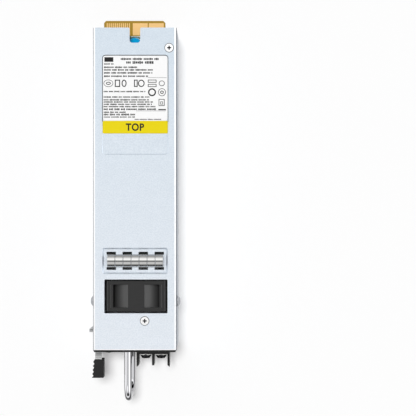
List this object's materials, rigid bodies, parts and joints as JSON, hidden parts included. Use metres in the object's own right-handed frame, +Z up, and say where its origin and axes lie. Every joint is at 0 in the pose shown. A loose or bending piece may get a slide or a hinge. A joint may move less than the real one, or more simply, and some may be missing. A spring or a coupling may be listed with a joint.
{
  "type": "dc power supply module",
  "caption": "Slim metal-cased plug-in DC power supply with rear card edge, loop handle, release latch, barrier terminals and a small fan behind a vented front.",
  "frame": {"origin": "centre of the housing's underside, without the handle and the card edge", "axes": "+Z up through the top cover, +Y towards the card edge at the rear, -Y towards the front panel with the handle"},
  "size_m": [0.056, 0.235, 0.0412],
  "materials": {
    "zinc_sheet": "zinc-coated sheet, satin",
    "black_panel": "black powder coat, fine texture",
    "screw_steel": "zinc plated screws",
    "chrome_bar": "polished chrome plate",
    "black_plastic": "moulded, fine texture",
    "lamp_lens": "clear lens",
    "terminal_plastic": "moulded thermoset",
    "tinned_plate": "bright tin plate",
    "terminal_screw": "nickel plated screws",
    "spring_steel": "bright spring sheet",
    "grip_plastic": "moulded grip",
    "white_label": "printed film, satin",
    "yellow_label": "printed film, satin",
    "fan_plastic": "glass filled plastic",
    "bronze": "turned",
    "copper_winding": "enamelled copper wire",
    "green_board": "solder mask on glass laminate",
    "gold_contact": "gold plated copper",
    "copper_bar": "tinned copper bar",
    "insulating_film": "translucent film",
    "can_sleeve": "shrink sleeve",
    "ferrite": "ground ferrite",
    "winding_tape": "yellow winding tape",
    "sink_aluminium": "mill finish extrusion",
    "chip_resin": "moulded resin",
    "ceramic_tube": "ceramic tube, plated caps",
    "blue_resin": "dipped epoxy coat"
  },
  "bodies": {
    "housing": {"base_tray": "zinc_sheet", "top_cover": "zinc_sheet", "front_panel": "black_panel", "cover_screws": "screw_steel", "side_screws": "screw_steel", "base_screws": "screw_steel", "handle": "chrome_bar", "handle_screws": "screw_steel", "lamp_holder": "black_plastic", "lamp_lens": "lamp_lens", "terminal_body": "terminal_plastic", "terminal_plates": "tinned_plate", "terminal_washers": "tinned_plate", "terminal_screws": "terminal_screw", "finger_strip": "spring_steel", "rating_label": "white_label", "orientation_label": "yellow_label", "fan_frame": "fan_plastic", "fan_bearing": "bronze", "fan_stator": "copper_winding", "fan_cradle": "black_plastic", "main_board": "green_board", "card_board": "green_board", "signal_contacts": "gold_contact", "power_contacts": "gold_contact", "link_bars": "copper_bar", "signal_header": "black_plastic", "floor_insulator": "insulating_film", "board_standoffs": "bronze", "board_screws": "screw_steel", "input_capacitors": "can_sleeve", "output_capacitors": "can_sleeve", "input_choke": "copper_winding", "transformer_core": "ferrite", "transformer_winding": "winding_tape", "transformer_bobbin": "black_plastic", "heat_sink": "sink_aluminium", "power_transistors": "chip_resin", "output_inductor": "ferrite", "fuse": "ceramic_tube", "disc_capacitor": "blue_resin", "control_chips": "chip_resin"},
    "latch": {"latch_spring": "spring_steel", "latch_grip": "grip_plastic"},
    "fan": {"fan_rotor": "fan_plastic", "fan_shaft": "screw_steel"}
  },
  "joints": [
    {"name": "latch_press", "type": "hinge", "parent": "housing", "child": "latch", "pos_m": [-0.0229, -0.02, 0.022], "axis": [0, 0, 1], "range_deg": [0, 2.5], "stiffness_Nm_per_rad": 0.5},
    {"name": "fan_spin", "type": "hinge", "parent": "housing", "child": "fan", "pos_m": [0.00073, -0.06505, 0.02], "axis": [0, 1, 0], "continuous": true}
  ]
}
